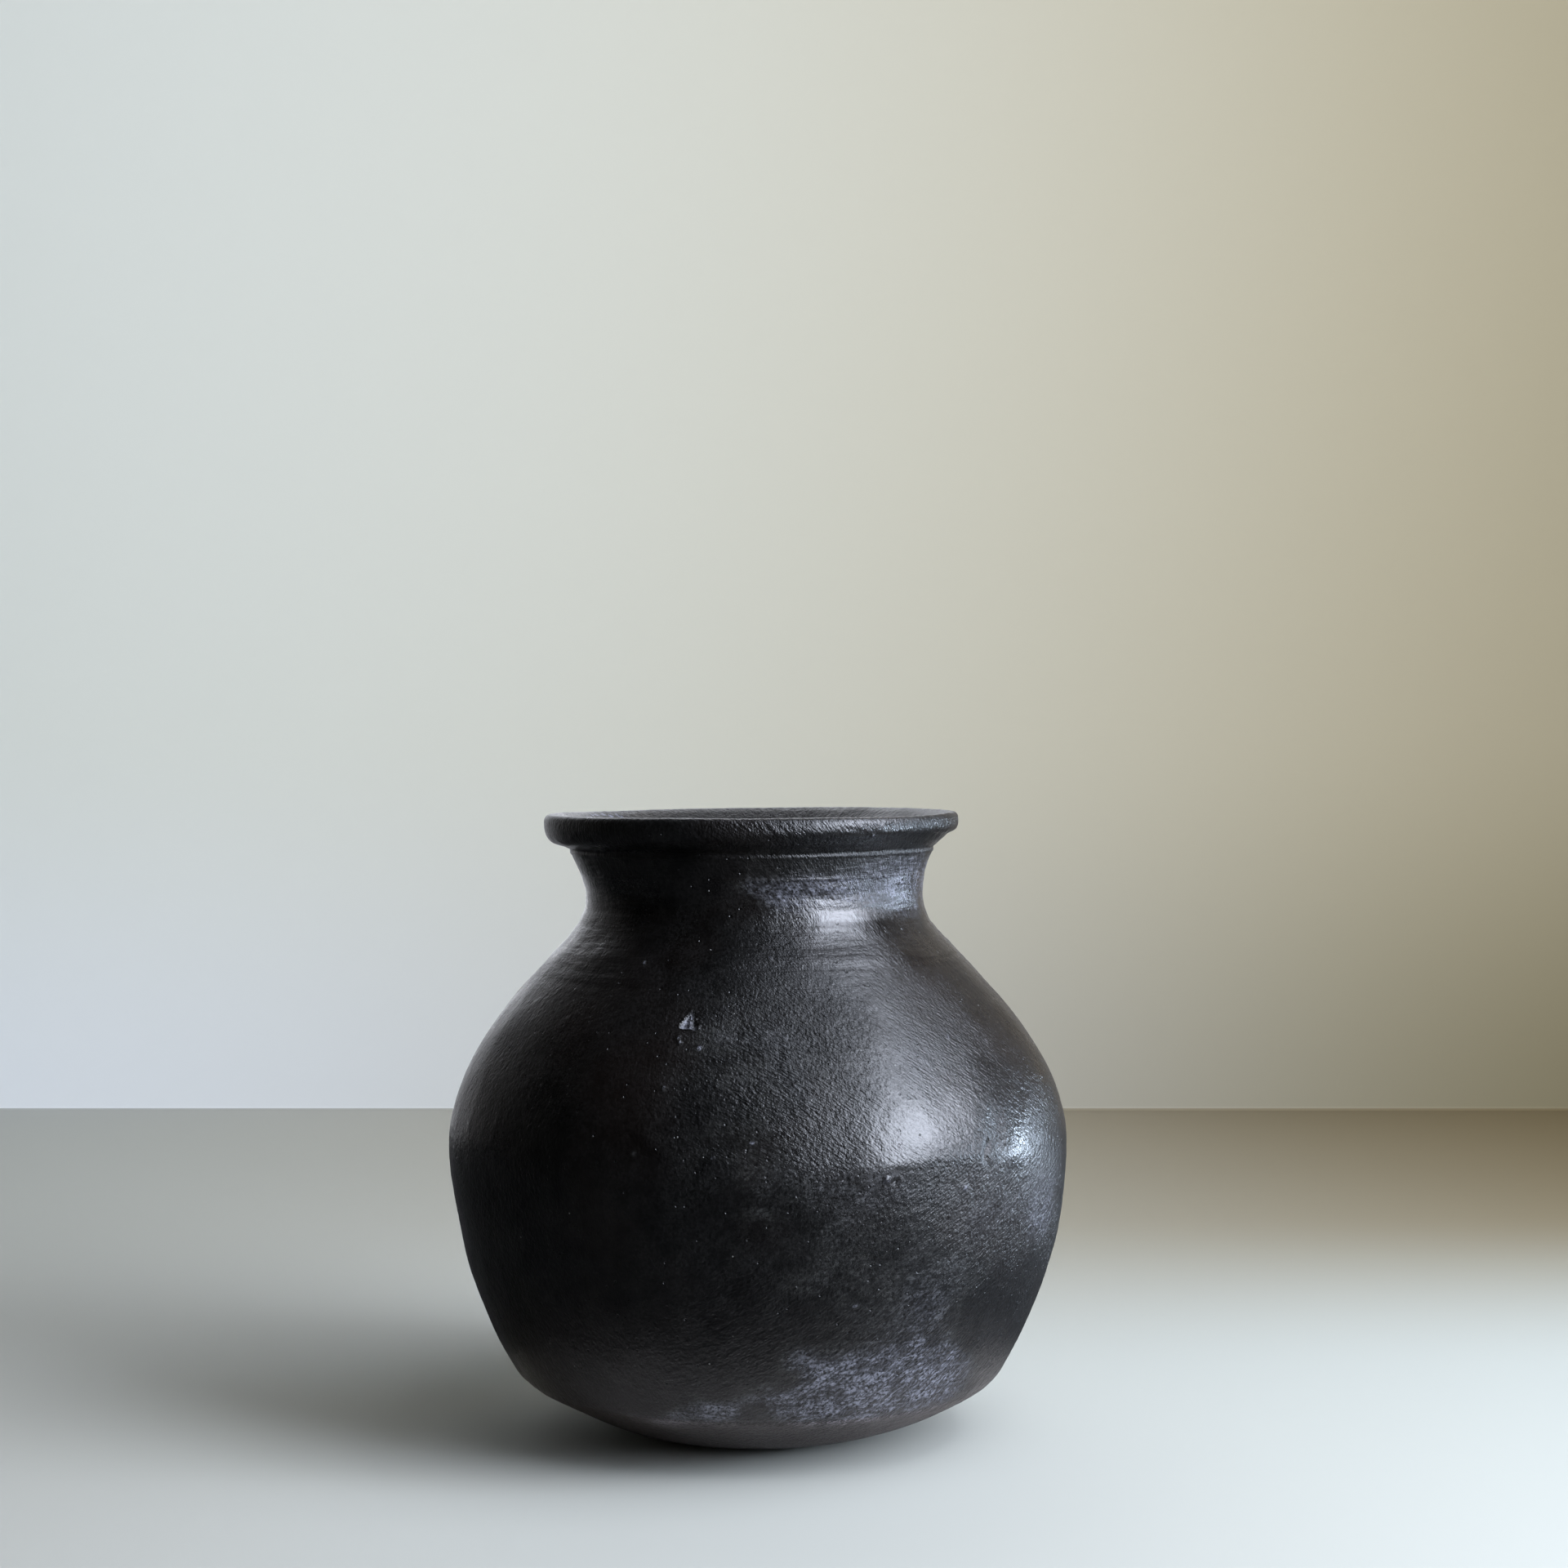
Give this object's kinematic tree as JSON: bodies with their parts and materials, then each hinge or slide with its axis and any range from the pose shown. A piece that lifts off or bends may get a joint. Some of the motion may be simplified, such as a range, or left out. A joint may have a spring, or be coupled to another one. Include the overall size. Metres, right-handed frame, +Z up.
{
  "type": "black clay pot",
  "caption": "Round-bellied burnished black clay pot with a drawn-in neck, a flaring mouth and a rolled rim, standing on a small flat spot.",
  "frame": {"origin": "centre of the flat spot on which the pot rests, under the middle of the belly", "axes": "+Z up, out of the mouth; +X towards the side away from which the neck leans; -Y towards the side the pot is seen from"},
  "size_m": [0.302, 0.302, 0.3005],
  "materials": {
    "base_dish": "smoked black clay, wiped smooth",
    "lower_wall": "burnished black clay with a graphite sheen and a dusty silver bloom low down",
    "shoulder_wall": "burnished black clay with a graphite sheen",
    "neck_collar": "burnished black clay with wiping marks",
    "flare_coil": "smoked black clay, nearly matte",
    "rim_coil": "burnished black clay, satin"
  },
  "bodies": {
    "root": {"base_dish": "base_dish", "lower_wall": "lower_wall", "shoulder_wall": "shoulder_wall", "neck_collar": "neck_collar", "flare_coil": "flare_coil", "rim_coil": "rim_coil"}
  },
  "joints": []
}
